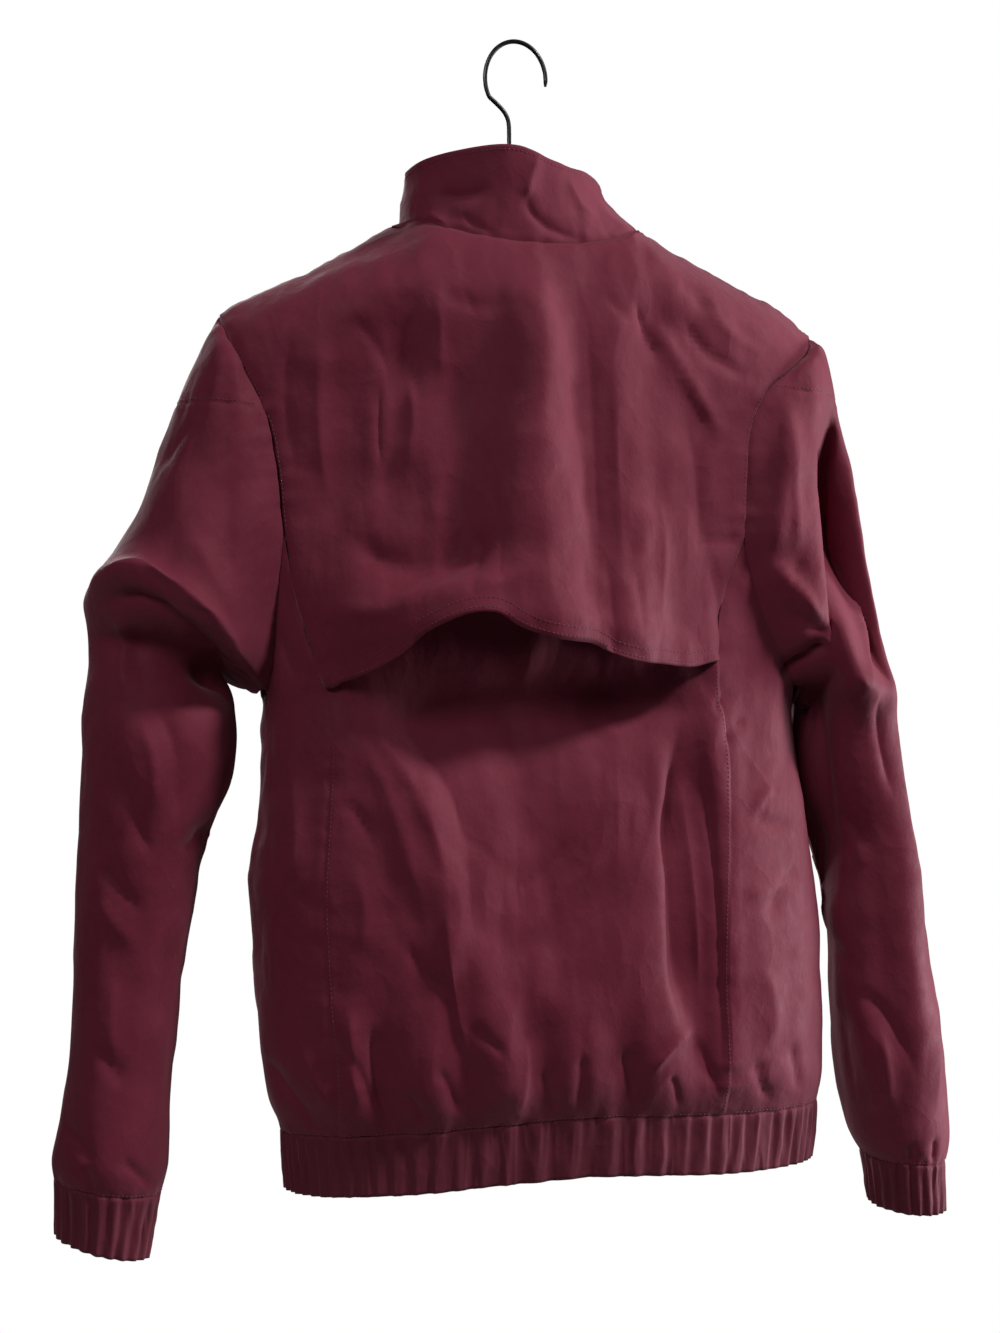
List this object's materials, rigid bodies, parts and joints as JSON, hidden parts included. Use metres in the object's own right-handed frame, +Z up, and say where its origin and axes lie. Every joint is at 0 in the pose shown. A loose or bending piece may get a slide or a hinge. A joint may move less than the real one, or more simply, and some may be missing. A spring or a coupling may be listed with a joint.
{
  "type": "windbreaker on a wire hanger",
  "caption": "Crisp nylon windbreaker with a vented cape back, stand collar, full front zip, gathered hem band and cuffs, hanging closed and empty on a wire hanger.",
  "frame": {"origin": "inner top of the hanger's hook, where it hangs", "axes": "+Z up; the garment's front faces -Y and its back +Y; the wearer's left is at +X"},
  "size_m": [0.6164, 0.1886, 0.8029],
  "materials": {
    "nylon": "crisp burgundy nylon, soft sheen",
    "gathered_nylon": "burgundy nylon gathered on elastic",
    "zip_tape": "woven tape, matte",
    "zip_metal": "dark enamel",
    "steel_wire": "dark drawn wire"
  },
  "bodies": {
    "garment": {"back_panel": "nylon", "back_flap": "nylon", "side_panel_left": "nylon", "side_panel_right": "nylon", "front_left": "nylon", "front_right": "nylon", "sleeve_top_left": "nylon", "sleeve_top_right": "nylon", "sleeve_left": "nylon", "sleeve_right": "nylon", "collar": "nylon", "hem_band": "gathered_nylon", "cuff_left": "nylon", "cuff_right": "nylon", "zip_tape": "zip_tape", "zip_chain": "zip_metal", "zip_slider": "zip_metal", "hanger_hook": "steel_wire", "hanger_arms": "steel_wire"},
    "zip_pull": {"zip_pull_tab": "zip_metal"}
  },
  "joints": [
    {"name": "pull_tab_hinge", "type": "hinge", "parent": "garment", "child": "zip_pull", "pos_m": [-0.00444, -0.06809, -0.13548], "axis": [-1, 0, 0], "range_deg": [0, 150]}
  ]
}
